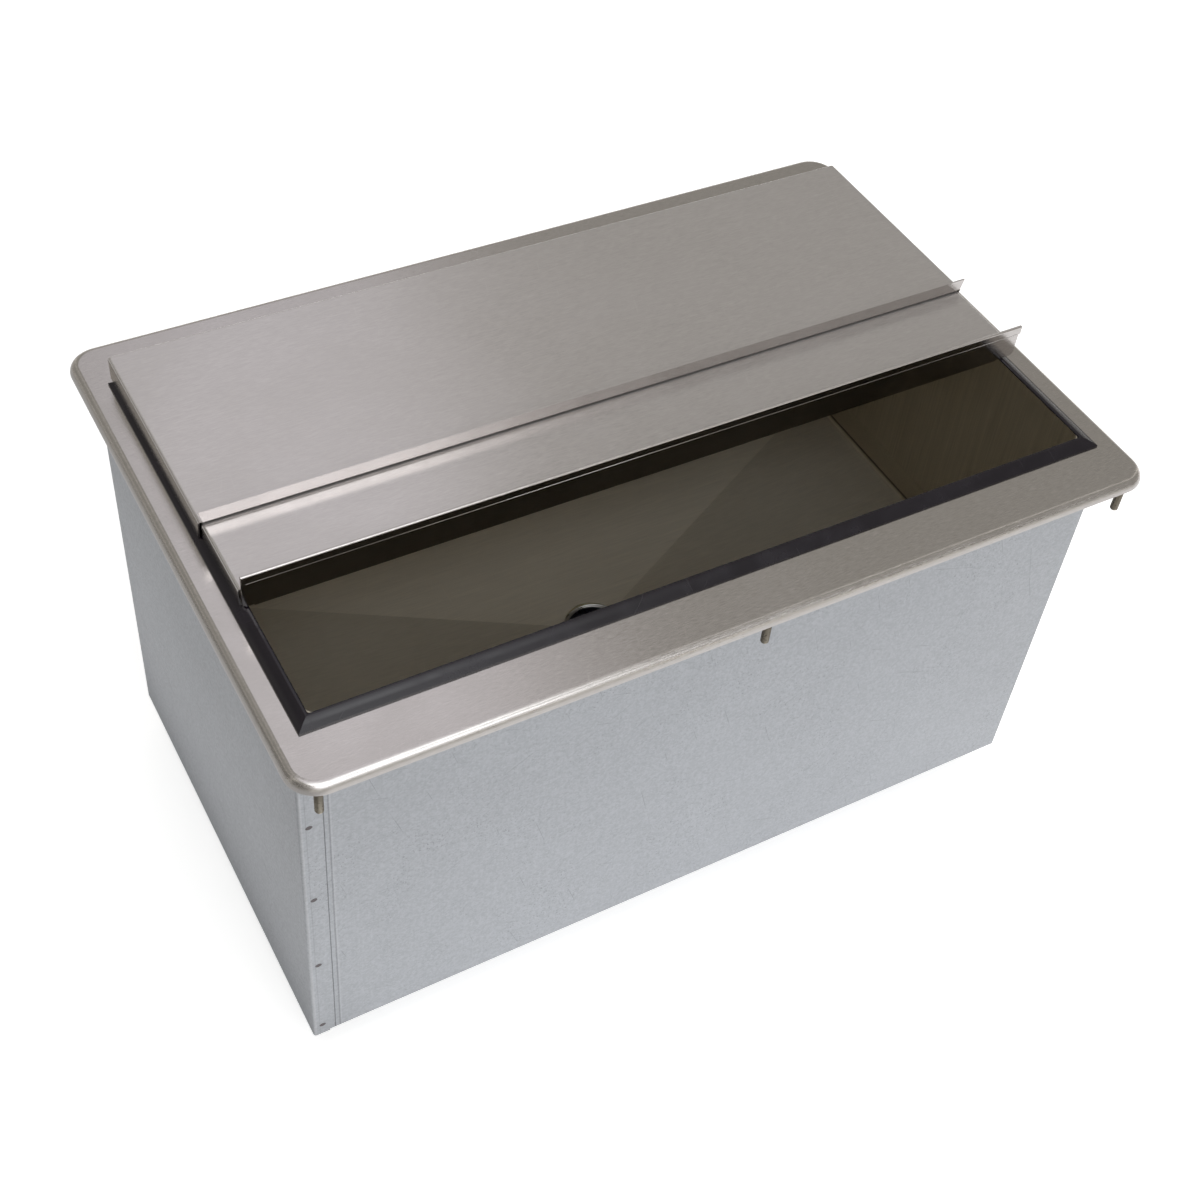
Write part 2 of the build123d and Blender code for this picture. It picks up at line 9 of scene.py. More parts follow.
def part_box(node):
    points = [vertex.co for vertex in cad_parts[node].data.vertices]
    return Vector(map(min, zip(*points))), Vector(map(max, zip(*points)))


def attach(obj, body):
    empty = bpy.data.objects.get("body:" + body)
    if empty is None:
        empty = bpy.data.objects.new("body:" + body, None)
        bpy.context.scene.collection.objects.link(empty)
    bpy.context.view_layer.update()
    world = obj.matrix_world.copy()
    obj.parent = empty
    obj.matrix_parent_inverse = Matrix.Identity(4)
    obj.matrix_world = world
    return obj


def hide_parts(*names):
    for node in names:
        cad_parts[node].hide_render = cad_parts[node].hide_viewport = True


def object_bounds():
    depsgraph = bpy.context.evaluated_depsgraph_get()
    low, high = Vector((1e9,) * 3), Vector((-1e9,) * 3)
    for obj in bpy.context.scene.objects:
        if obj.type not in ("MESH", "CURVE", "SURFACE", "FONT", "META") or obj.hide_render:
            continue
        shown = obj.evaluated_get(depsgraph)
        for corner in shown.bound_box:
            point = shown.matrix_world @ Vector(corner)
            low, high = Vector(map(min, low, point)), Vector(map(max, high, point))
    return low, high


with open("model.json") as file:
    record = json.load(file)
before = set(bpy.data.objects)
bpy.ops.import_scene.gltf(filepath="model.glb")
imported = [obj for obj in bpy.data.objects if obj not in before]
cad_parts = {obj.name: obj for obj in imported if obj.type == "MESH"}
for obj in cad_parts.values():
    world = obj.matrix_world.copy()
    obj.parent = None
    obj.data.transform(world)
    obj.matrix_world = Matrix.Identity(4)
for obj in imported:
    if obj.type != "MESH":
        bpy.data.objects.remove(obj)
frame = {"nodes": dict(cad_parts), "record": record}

cad_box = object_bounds()
parts = frame["nodes"]
MM = 0.001

# Sizes of the pieces that are modelled here, in metres.

THREAD_PITCH = 1.27 * MM
THREAD_DEPTH = 0.62 * MM
THREAD_SIDES = 28
THREAD_LEVELS = (0.0, 0.0, 1.0, 1.0)    # root, root, crest and crest along one pitch
STUD_CHAMFER = 0.8 * MM
MERGE_DISTANCE = 0.01 * MM

SPOT_WELD_RADIUS = 2.7 * MM
SPOT_WELD_FLATNESS = 0.8                # height of a mark as a share of its width
SPOT_WELD_RISE = 0.12 * MM
SPOT_WELD_PITCH = 89.5 * MM
SPOT_WELD_FIRST_Z = -87.0 * MM
SPOT_WELD_COUNT = 4
SPOT_WELD_FROM_CORNER = 7.5 * MM
SPOT_WELD_SIDES = 20

DRAIN_RIM_RADIUS = 1.1 * MM
DRAIN_RIM_SIDES = 72
DRAIN_BEAD_SIDES = 8

HEM_HEIGHT = 7.2 * MM
HEM_EDGE_RADIUS = 0.45 * MM
HEM_EDGE_INSET = 3.0 * MM
HEM_EDGE_SIDES = 12
HEM_EDGE_BACK = 0.6                     # its middle behind the hem's face, as a share of its radius

WELD_BEAD_WIDTH = 1.5 * MM
WELD_BEAD_RISE = 0.25 * MM
WELL_SHEET = 1.0 * MM
WELL_CORNER_RADIUS = 5.0 * MM
WELL_CORNER_STEPS = 6

FLOOR_HALF_SIZE = 6.0

# Rings of a spot weld from the middle out: shares of its radius and of its rise.

SPOT_WELD_RINGS = ((0.45, 0.25), (0.72, 1.0), (0.9, 0.8), (1.0, -0.2))

# Section of the weld bead: outward as a share of its rise, up as a share of its width.

WELD_BEAD_SECTION = ((0.02, -0.5), (-0.7, -0.25), (-1.0, 0.0), (-0.7, 0.25), (0.02, 0.5))

# Lines of painted shade and highlight, with some dirt, along the front-left seam: distance from the
# corner, half width, strength and colour.

SEAM_SHADE_DIRT_AND_HIGHLIGHT_LINES = (
    (1.6 * MM, 1.5 * MM, 0.30, (0.62, 0.62, 0.64, 1.0)),
    (5.2 * MM, 0.6 * MM, 0.16, (0.10, 0.10, 0.11, 1.0)),
    (18.5 * MM, 0.8 * MM, 0.70, (0.10, 0.10, 0.11, 1.0)),
    (22.6 * MM, 0.9 * MM, 0.38, (0.14, 0.14, 0.15, 1.0)),
    (24.0 * MM, 0.9 * MM, 0.25, (0.62, 0.63, 0.66, 1.0)),
)
SEAM_CORE = 0.4                         # share of a line's half width that has its full strength
SEAM_WANDER = 0.8 * MM
SEAM_FACE = (3 * MM, 4 * MM)            # behind the front face, where the lines end

# Painted shade and highlight on the cove of the well: a dark foot line and a light band along its
# round. For each: the upward part of the normal where it starts, is full, starts to fade and ends,
# then its strength and its tone.

COVE_SHADE_AND_HIGHLIGHT_BANDS = (
    (0.04, 0.15, 0.30, 0.46, 0.80, 0.22),
    (0.46, 0.62, 0.76, 0.95, 0.65, 1.45),
)

# Colours as linear values.

LID_STEEL = (0.620, 0.590, 0.580)
DECK_STEEL = (0.620, 0.590, 0.575)
WELL_STEEL = (0.635, 0.580, 0.478)
DRAIN_STEEL = (0.660, 0.650, 0.630)
ZINC_COAT = (0.455, 0.470, 0.500)
ZINC_DARK = (0.300, 0.310, 0.335)
WELD_SCORCH = (0.120, 0.105, 0.110)
STUD_ZINC = (0.330, 0.300, 0.250)
STRIP_BLACK = (0.007, 0.0045, 0.009)
RUBBER_BLACK = (0.015, 0.015, 0.016)
FOAM_CREAM = (0.760, 0.660, 0.420)
FLOOR_WHITE = (0.800, 0.800, 0.800)
STRIP_SCRATCH = (0.12, 0.115, 0.12, 1.0)
BORE_DARK_COLOUR = (0.095, 0.100, 0.130, 1.0)
WHITE = (1, 1, 1, 1)

# Darkest and lightest tone of the finishes that are mottled, as factors of their colours.

ZINC_TONES = (0.93, 1.09)
STUD_TONES = (0.65, 1.15)
WELD_TONES = (0.7, 1.8)
DRAIN_TONES = (0.85, 1.05)
RUBBER_TONES = (0.8, 2.0)
FOAM_TONES = (0.85, 1.08)
FLOOR_TONES = (0.99, 1.01)

# Effects on the finishes: the share of each that shows, and the tone of the colour there.

STEEL_BANDS = (0.35, 0.93)
STEEL_SMUDGES = (0.25, 0.95)
STEEL_SCRATCHES = (1.0, 1.15)
ZINC_ROLLING = (0.22, 0.8)
ZINC_SPECKS = (0.65, 0.8)
ZINC_SCRATCHES = (0.6, 0.9)
STRIP_RUBBED = (0.35, 1.8)
STRIP_SCRATCHED = 0.3
BORE_DARK_SHARE = 0.9

# Parts of the zinc's mottle: its crystals, the frost on them and broad clouds.

CRYSTAL_SHARE = 0.40
FROST_SHARE = 0.40
CLOUD_SHARE = 0.30

# Streaks per metre along each axis.

STREAKS_ALONG_X = (150, 1600, 1600)
WALL_STREAKS = (700, 700, 12)
FLOOR_STREAKS = (30, 700, 700)
ZINC_STREAKS = (560, 560, 14)
STRIP_STREAKS = (9, 9, 900)
BAND_STRETCH = (0.3, 0.16, 0.16)        # of the broad bands, as shares of the streaks
BAND_HEIGHT = 0.15                      # as a share of the streaks' height

# Scratches: how far each set is turned, in radians, and the axis that it is turned round.

SCRATCH_TURNS = (0.35, 1.25, 2.3)
SCRATCH_AXIS = (0.35, 1.0, 0.4)

# Roughness: where a mottle is low and where it is high, of the even finishes, and what effects add.

NOISE_SPAN = (0.3, 0.7)
ZINC_ROUGHNESS = (0.50, 0.40)
STUD_ROUGHNESS = (0.24, 0.40)
WELD_ROUGHNESS = (0.4, 0.6)
DRAIN_ROUGHNESS = (0.22, 0.34)
RUBBER_ROUGHNESS = (0.65, 0.85)
STRIP_ROUGHNESS = 0.20
FOAM_ROUGHNESS = 0.9
FLOOR_ROUGHNESS = 0.9
ROUGHER_IN_STREAKS = 0.07
ROUGHER_IN_SMUDGES = 0.045
ROUGHER_WHERE_RUBBED = 0.10

# Part of the normal along an axis: from where a face doesn't count as facing that way to where it
# does.

FACING = (0.5, 0.9)

# Drain: rings in radians per metre, and depths below its top.

TURNING_RINGS = 14000.0
BORE_DARK_TOP_FADE = (2.5 * MM, 0.8 * MM)
BORE_DARK_BOTTOM_FADE = (140 * MM, 120 * MM)

# Floor in mirror rays, with painted shade and light on it. Its glow falls off beside the bin's left
# side and grows towards the bin from the front, and a painted contact shadow follows the foot of
# the left wall. Places are in metres along X or Y.

FLOOR_GLOW = 0.38
CAMERA_GLOW = 1.5
SIDE_SPAN = (-0.60, -0.34)
SIDE_GLOW = 0.14
SIDE_SHADE = 0.6
AHEAD_SPAN = (-0.60, -0.24)
AHEAD_GLOW = (0.72, 1.42)
CONTACT_SHADE = 0.25
CONTACT_PLACE = -0.345
CONTACT_CORE = 0.01
CONTACT_REACH = 0.085
CONTACT_START = (-0.26, -0.16)

# Studio: how bright its parts are, and where they start and end, as parts of a unit direction. A
# light is its axis, its middle, its half width and its strength.

PANEL_FRONT = 1.5
PANEL_REAR = 0.89
FAR_REAR_SHARE = 0.76
ROOM_LEVEL = 0.345
HORIZON_LEVEL = 0.50
LEFT_SIDE_SHARE = 0.60
PANEL_RIGHT_EDGE = 0.335
PANEL_LEFT_EDGE = -0.35
REAR_LEFT_EDGE = 0.13
PANEL_BLUR = 0.03
PANEL_RISE = (0.35, 0.50)
NARROWING = (0.30, 0.45)
FRONT_TO_REAR = (-0.05, 0.20)
REAR_TO_FAR_REAR = (0.62, 0.77)
HORIZON_TO_ROOM = (0.0, 0.40)
LEFT_SIDE_SPAN = (-0.80, -0.25)
LAMPS = (("Y", -0.22, 0.13, 1.7), ("Y", -0.62, 0.14, 2.1))
STRIP_LIGHTS = (
    ("Y", 0.20, 0.05, 0.7),
    ("Y", -0.86, 0.05, 0.7),
    ("X", -0.15, 0.035, 0.35),
    ("X", -0.60, 0.05, 0.35),
)
LIGHT_CORE = 0.3                        # share of a light's half width that has its full strength
PANEL_FRONT_TINT = (0.965, 0.985, 1.0, 1.0)
PANEL_REAR_TINT = (1.0, 0.98, 1.02, 1.0)
ROOM_TINT = (1.0, 0.965, 0.88, 1.0)

# Camera, as solved from the straight edges in the photograph: its place in metres, its lens and
# sensor in millimetres.

CAMERA_PLACE = (-0.5723, -0.86965, 0.9274)
CAMERA_FORWARD = (0.37755619, 0.56193908, -0.73598627)
CAMERA_UP = (0.31040462, 0.67202145, 0.67233633)
CAMERA_LENS = 53.597
CAMERA_SENSOR = 36.0


# Node trees

def fill(tree, sockets, values):
    """Fills sockets with values or links."""
    for name, value in values.items():
        if isinstance(value, bpy.types.NodeSocket):
            tree.links.new(value, sockets[name])
        else:
            sockets[name].default_value = value


def add(tree, kind, inputs=None, **settings):
    """Adds a node, sets its properties and fills its sockets."""
    made = tree.nodes.new(kind)
    for name, value in settings.items():
        setattr(made, name, value)
    fill(tree, made.inputs, inputs or {})
    return made


def maths(tree, operation, first, second=0.0):
    return add(tree, "ShaderNodeMath", {0: first, 1: second}, operation=operation).outputs[0]


def times(tree, first, second):
    return maths(tree, "MULTIPLY", first, second)


def plus(tree, first, second):
    return maths(tree, "ADD", first, second)


# A mix node has sockets 2 and 3 for numbers, and 6 and 7 for colours.

def mix(tree, factor, first, second):
    return add(tree, "ShaderNodeMix", {0: factor, 2: first, 3: second}).outputs[0]


def mix_colours(tree, factor, first, second, blend="MIX"):
    inputs = {0: factor, 6: first, 7: second}
    return add(tree, "ShaderNodeMix", inputs, data_type="RGBA", blend_type=blend).outputs[2]


def remap(tree, value, low, high, to_low=0.0, to_high=1.0, smooth=False):
    kind = "SMOOTHSTEP" if smooth else "LINEAR"
    inputs = {
        "Value": value, "From Min": low, "From Max": high, "To Min": to_low, "To Max": to_high,
    }
    return add(tree, "ShaderNodeMapRange", inputs, interpolation_type=kind).outputs["Result"]


def band(tree, value, middle, core, reach, strength):
    """A soft band round a middle: at full strength in its core, and none beyond its reach."""
    apart = maths(tree, "ABSOLUTE", maths(tree, "SUBTRACT", value, middle))
    return remap(tree, apart, core, reach, strength, 0.0, smooth=True)


def noise(tree, vector, scale, detail=3.0, roughness=0.55, distortion=0.0):
    inputs = {
        "Vector": vector, "Scale": scale, "Detail": detail, "Roughness": roughness,
        "Distortion": distortion,
    }
    return add(tree, "ShaderNodeTexNoise", inputs).outputs["Fac"]


def stretched(tree, vector, scale):
    inputs = {0: vector, 1: scale}
    return add(tree, "ShaderNodeVectorMath", inputs, operation="MULTIPLY").outputs[0]


def shader_group(name, inputs, outputs):
    """A new shader node group, with the sockets of its inputs and of its outputs."""
    tree = bpy.data.node_groups.new(name, "ShaderNodeTree")
    for socket, (kind, value) in inputs.items():
        kind = "NodeSocket" + kind
        made = tree.interface.new_socket(socket, in_out="INPUT", socket_type=kind)
        made.default_value = value
    for socket, kind in outputs.items():
        tree.interface.new_socket(socket, in_out="OUTPUT", socket_type="NodeSocket" + kind)
    given = tree.nodes.new("NodeGroupInput").outputs
    return tree, given, tree.nodes.new("NodeGroupOutput").inputs


def place(tree, group, inputs):
    """Places a shader node group in a material and returns its outputs."""
    return add(tree, "ShaderNodeGroup", inputs, node_tree=group).outputs


# Effects that several finishes share

def brushed_grain_group():
    """Long fine streaks and broad bands. Stretch is the number of streaks per metre on each
    axis."""
    tree, given, out = shader_group(
        "brushed grain",
        {"Vector": ("Vector", (0, 0, 0)), "Stretch": ("Vector", (1, 1, 1))},
        {"Streaks": "Float", "Bands": "Float", "Height": "Float"},
    )
    narrow = stretched(tree, given["Vector"], given["Stretch"])
    broad = stretched(tree, given["Vector"], stretched(tree, given["Stretch"], BAND_STRETCH))
    fine = noise(tree, narrow, scale=1.0, detail=2.0, roughness=0.6)
    wide = noise(tree, broad, scale=1.0, detail=3.0, roughness=0.5)
    streaks = remap(tree, fine, low=0.25, high=0.75)
    bands = remap(tree, wide, *NOISE_SPAN)
    height = plus(tree, streaks, times(tree, bands, BAND_HEIGHT))
    for name, value in (("Streaks", streaks), ("Bands", bands), ("Height", height)):
        tree.links.new(value, out[name])
    return tree


def smudges_group():
    """Broad soft patches, as handling and cleaning leave on sheet metal."""
    tree, given, out = shader_group(
        "smudges",
        {"Vector": ("Vector", (0, 0, 0)), "Patches": ("Float", 1.0)},
        {"Mask": "Float"},
    )
    broad = noise(
        tree, given["Vector"], given["Patches"], detail=3.0, roughness=0.6, distortion=0.6,
    )
    tree.links.new(remap(tree, broad, low=0.38, high=0.68, smooth=True), out["Mask"])
    return tree


def scratches_group():
    """Thin stray scratches in several directions, sparse enough to read one by one."""
    tree, given, out = shader_group(
        "stray scratches",
        {"Vector": ("Vector", (0, 0, 0)), "Density": ("Float", 1.0)},
        {"Mask": "Float"},
    )
    total = None
    for turn in SCRATCH_TURNS:
        turned = add(
            tree, "ShaderNodeVectorRotate",
            {"Vector": given["Vector"], "Angle": turn, "Axis": SCRATCH_AXIS},
            rotation_type="AXIS_ANGLE",
        ).outputs[0]
        line = add(tree, "ShaderNodeTexWave", {
            "Vector": turned, "Scale": 11.0, "Distortion": 1.1, "Detail": 1.0, "Detail Scale": 0.7,
        }).outputs["Fac"]
        thin = remap(tree, line, low=0.9990, high=1.0, smooth=True)
        where = remap(tree, noise(tree, turned, scale=31.0, detail=1.0), low=0.60, high=0.68)
        single = times(tree, thin, where)
        total = single if total is None else maths(tree, "MAXIMUM", total, single)
    tree.links.new(times(tree, total, given["Density"]), out["Mask"])
    return tree


def zinc_spangle_group():
    """Frosted mottle of hot-dipped zinc, with small dark specks."""
    tree, given, out = shader_group(
        "zinc spangle",
        {"Vector": ("Vector", (0, 0, 0))},
        {"Tone": "Float", "Specks": "Float", "Height": "Float"},
    )
    vector = given["Vector"]
    cells = add(
        tree, "ShaderNodeTexVoronoi", {"Vector": vector, "Scale": 620.0, "Randomness": 1.0},
    )
    colours = add(tree, "ShaderNodeSeparateColor", {"Color": cells.outputs["Color"]}).outputs
    frost = noise(tree, vector, scale=210.0, detail=4.0, roughness=0.7)
    cloud = noise(tree, vector, scale=6.0, detail=2.0, roughness=0.5)
    tone = times(tree, colours[0], CRYSTAL_SHARE)
    tone = plus(tree, tone, times(tree, frost, FROST_SHARE))
    tone = plus(tree, tone, times(tree, cloud, CLOUD_SHARE))
    specks = noise(tree, vector, scale=620.0, detail=2.0, roughness=0.5)
    specks = remap(tree, specks, low=0.61, high=0.68)
    patches = noise(tree, vector, scale=13.0, detail=3.0, roughness=0.7)
    patches = remap(tree, patches, low=0.42, high=0.62)
    tree.links.new(remap(tree, tone, low=0.30, high=0.8), out["Tone"])
    tree.links.new(times(tree, specks, patches), out["Specks"])
    tree.links.new(frost, out["Height"])
    return tree


grain_group = brushed_grain_group()
smudges = smudges_group()
scratches = scratches_group()
spangle = zinc_spangle_group()


# Finishes

def new_material(name):
    """An empty node material: its tree, its shader and the place on the object in metres."""
    material = bpy.data.materials.new(name)
    material.use_nodes = True
    tree = material.node_tree
    shader = tree.nodes["Principled BSDF"]
    where = tree.nodes.new("ShaderNodeTexCoord").outputs["Object"]
    return material, tree, shader, where


def drive(tree, shader, **values):
    """Links or sets the shader's sockets, which are named with underscores for spaces."""
    fill(tree, shader.inputs, {name.replace("_", " "): value for name, value in values.items()})


def bump(tree, height, distance, strength=1.0):
    inputs = {"Height": height, "Distance": distance, "Strength": strength}
    return add(tree, "ShaderNodeBump", inputs).outputs[0]


def shade(colour, factor):
    return (*(channel * factor for channel in colour), 1.0)


def between(tree, mask, colour, dark, light):
    """A colour that goes from a dark to a light tone with the mask."""
    return mix_colours(tree, mask, shade(colour, dark), shade(colour, light))


def mix_in(tree, base, colour, *effects):
    """Mixes tones of a colour into the base. An effect is its mask, with its share and its tone."""
    for mask, (share, tone) in effects:
        base = mix_colours(tree, times(tree, mask, share), base, shade(colour, tone))
    return base


def brushed_steel(name, colour, stretch, roughness, haze=0.0, contrast=0.09, lean_shade=0.0, polish=1.0,
                  painted_cove=False, rearward=1.0):
    """Stainless sheet with a brushed grain, smudges and a few scratches. Haze is the dull film on
    top, lean is painted shade, how much darker a face gets that leans to the rear, and polish is
    the share of the roughness that the upright faces have. A cove gets painted shade, a dark foot
    line, and a painted highlight, a light band along its round. Rearward is painted shade, the tone
    of the upright faces that look to the rear."""
    material, tree, shader, where = new_material(name)
    normal = tree.nodes.new("ShaderNodeNewGeometry").outputs["Normal"]
    faces = add(tree, "ShaderNodeSeparateXYZ", {0: normal}).outputs
    upward = remap(tree, faces["Z"], *FACING)
    metallic = maths(tree, "SUBTRACT", 1.0, times(tree, upward, haze))
    grain = place(tree, grain_group, {"Vector": where, "Stretch": stretch})
    smudge = place(tree, smudges, {"Vector": where, "Patches": 9.0})["Mask"]
    scratch = place(tree, scratches, {"Vector": where, "Density": 0.25})["Mask"]
    streaked = between(tree, grain["Streaks"], colour, 1 - contrast, 1 + contrast)
    base = mix_in(
        tree, streaked, colour,
        (grain["Bands"], STEEL_BANDS), (smudge, STEEL_SMUDGES), (scratch, STEEL_SCRATCHES),
    )
    # Painted shade: faces that lean to the rear get darker.
    if lean_shade:
        leaning = times(tree, faces["Y"], upward)
        tone = maths(tree, "SUBTRACT", 1.0, times(tree, leaning, lean_shade))
        base = mix_colours(tree, 1.0, base, tone, blend="MULTIPLY")
    # Painted shade: upright faces that look to the rear get darker.
    if rearward < 1.0:
        tone = remap(tree, faces["Y"], *FACING, 1.0, rearward)
        base = mix_colours(tree, 1.0, base, tone, blend="MULTIPLY")
    # Painted shade in a dark foot line, and painted highlight in a light band along the cove.
    if painted_cove:
        for start, full, full_end, end, factor, tint in COVE_SHADE_AND_HIGHLIGHT_BANDS:
            rise = remap(tree, faces["Z"], start, full, smooth=True)
            fall = remap(tree, faces["Z"], full_end, end, factor, 0.0, smooth=True)
            base = mix_colours(tree, times(tree, rise, fall), base, shade(colour, tint))
    rough = plus(tree, roughness, times(tree, grain["Streaks"], ROUGHER_IN_STREAKS))
    rough = plus(tree, rough, times(tree, smudge, ROUGHER_IN_SMUDGES))
    rough = times(tree, rough, remap(tree, upward, 0.0, 1.0, polish, 1.0))
    drive(tree, shader, Base_Color=base, Metallic=metallic, Roughness=rough,
          Normal=bump(tree, grain["Height"], distance=0.016 * MM))
    return material


def seam_shade_dirt_and_highlights(tree, where, colour):
    """Painted shadow and some dirt in the seam of the lap flange, painted shade and highlight on
    the soft joggle beside it, and a light line on its bend that is painted highlight and wear.
    """
    low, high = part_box("shell_rear_left")
    across = add(tree, "ShaderNodeSeparateXYZ", {0: where}).outputs
    face, behind = SEAM_FACE
    front = remap(tree, across["Y"], low.y + face, low.y + behind, 1.0, 0.0)
    wander = maths(tree, "SUBTRACT", noise(tree, where, scale=40.0, detail=2.0), 0.5)
    wander = times(tree, wander, SEAM_WANDER)
    beside = plus(tree, maths(tree, "SUBTRACT", across["X"], low.x), wander)
    for middle, half, factor, tint in SEAM_SHADE_DIRT_AND_HIGHLIGHT_LINES:
        line = band(tree, beside, middle, SEAM_CORE * half, half, factor)
        colour = mix_colours(tree, times(tree, line, front), colour, tint)
    return colour


def galvanised_steel():
    """Hot-dipped sheet with a frosted mottle, dark specks and long rolling marks."""
    material, tree, shader, where = new_material("galvanised_sheet")
    zinc = place(tree, spangle, {"Vector": where})
    rolling = place(tree, grain_group, {"Vector": where, "Stretch": ZINC_STREAKS})
    scratch = place(tree, scratches, {"Vector": where, "Density": 1.2})["Mask"]
    mottled = between(tree, zinc["Tone"], ZINC_COAT, *ZINC_TONES)
    rolled = mix_in(tree, mottled, ZINC_COAT, (rolling["Streaks"], ZINC_ROLLING))
    marked = mix_in(
        tree, rolled, ZINC_DARK, (zinc["Specks"], ZINC_SPECKS), (scratch, ZINC_SCRATCHES),
    )
    # The seam's lines are painted shade and highlight, with some dirt.
    base = seam_shade_dirt_and_highlights(tree, where, marked)
    rough = remap(tree, zinc["Tone"], 0.0, 1.0, *ZINC_ROUGHNESS)
    drive(tree, shader, Base_Color=base, Metallic=0.85, Roughness=rough,
          Normal=bump(tree, zinc["Height"], distance=0.06 * MM, strength=0.5))
    return material


def black_strip():
    """Satin black extrusion with fine draw lines and rubbed high spots."""
    material, tree, shader, where = new_material("black_strip")
    lines = place(tree, grain_group, {"Vector": where, "Stretch": STRIP_STREAKS})
    rub = place(tree, smudges, {"Vector": where, "Patches": 26.0})["Mask"]
    scratch = place(tree, scratches, {"Vector": where, "Density": 0.5})["Mask"]
    rubbed = mix_in(tree, shade(STRIP_BLACK, 1.0), STRIP_BLACK, (rub, STRIP_RUBBED))
    base = mix_colours(tree, times(tree, scratch, STRIP_SCRATCHED), rubbed, STRIP_SCRATCH)
    rough = plus(tree, STRIP_ROUGHNESS, times(tree, rub, ROUGHER_WHERE_RUBBED))
    drive(tree, shader, Base_Color=base, Roughness=rough, Specular_IOR_Level=0.5,
          Normal=bump(tree, lines["Height"], distance=0.01 * MM))
    return material


def zinc_plated():
    """Yellowed zinc plate on the weld studs, with darker stains."""
    material, tree, shader, where = new_material("zinc_plate")
    stain = noise(tree, where, scale=320.0, detail=3.0, roughness=0.6)
    base = between(tree, stain, STUD_ZINC, *STUD_TONES)
    rough = remap(tree, stain, *NOISE_SPAN, *STUD_ROUGHNESS)
    drive(tree, shader, Base_Color=base, Metallic=1.0, Roughness=rough,
          Normal=bump(tree, noise(tree, where, scale=1400.0), distance=0.01 * MM))
    return material


def scorched_weld():
    """The dark mottled mark of a resistance weld."""
    material, tree, shader, where = new_material("spot_weld_mark")
    mottle = noise(tree, where, scale=700.0, detail=3.0, roughness=0.6)
    base = between(tree, mottle, WELD_SCORCH, *WELD_TONES)
    rough = remap(tree, mottle, *NOISE_SPAN, *WELD_ROUGHNESS)
    drive(tree, shader, Base_Color=base, Metallic=0.6, Roughness=rough,
          Normal=bump(tree, mottle, distance=0.03 * MM))
    return material


def turned_steel(centre, top):
    """Steel with fine turning rings round an upright axis, darker inside the bore."""
    material, tree, shader, where = new_material("turned_steel")
    offset = add(tree, "ShaderNodeVectorMath", {0: where, 1: centre}, operation="SUBTRACT")
    flat = stretched(tree, offset.outputs[0], (1, 1, 0))
    reach = add(tree, "ShaderNodeVectorMath", {0: flat}, operation="LENGTH").outputs["Value"]
    rings = maths(tree, "SINE", times(tree, reach, TURNING_RINGS))
    stain = noise(tree, where, scale=90.0)
    turned = between(tree, remap(tree, stain, *NOISE_SPAN), DRAIN_STEEL, *DRAIN_TONES)
    height = add(tree, "ShaderNodeSeparateXYZ", {0: where}).outputs["Z"]
    # Darker inside the bore, from just below its top down to where it fades out.
    dark_top_full, dark_top_end = (top - depth for depth in BORE_DARK_TOP_FADE)
    dark_bottom_end, dark_bottom_full = (top - depth for depth in BORE_DARK_BOTTOM_FADE)
    inside = remap(tree, height, dark_top_full, dark_top_end, 1.0, 0.0, smooth=True)
    bore_darkening = times(tree, inside, remap(tree, height, dark_bottom_end, dark_bottom_full))
    base = mix_colours(tree, times(tree, bore_darkening, BORE_DARK_SHARE), turned, BORE_DARK_COLOUR)
    rough = remap(tree, stain, *NOISE_SPAN, *DRAIN_ROUGHNESS)
    drive(tree, shader, Base_Color=base, Metallic=1.0, Roughness=rough,
          Normal=bump(tree, rings, distance=0.008 * MM))
    return material


def matte_rubber():
    """Black rubber with a pale bloom."""
    material, tree, shader, where = new_material("grommet_rubber")
    bloom = noise(tree, where, scale=140.0, detail=4.0, roughness=0.6)
    base = between(tree, bloom, RUBBER_BLACK, *RUBBER_TONES)
    rough = remap(tree, bloom, *NOISE_SPAN, *RUBBER_ROUGHNESS)
    drive(tree, shader, Base_Color=base, Roughness=rough,
          Normal=bump(tree, noise(tree, where, scale=900.0), distance=0.03 * MM))
    return material


def rigid_foam():
    """Cream insulation board with an open cut face of small cells."""
    material, tree, shader, where = new_material("rigid_foam")
    cells = add(tree, "ShaderNodeTexVoronoi", {"Vector": where, "Scale": 700.0})
    base = between(tree, noise(tree, where, scale=14.0), FOAM_CREAM, *FOAM_TONES)
    drive(tree, shader, Base_Color=base, Roughness=FOAM_ROUGHNESS,
          Normal=bump(tree, cells.outputs["Distance"], distance=0.3 * MM))
    return material


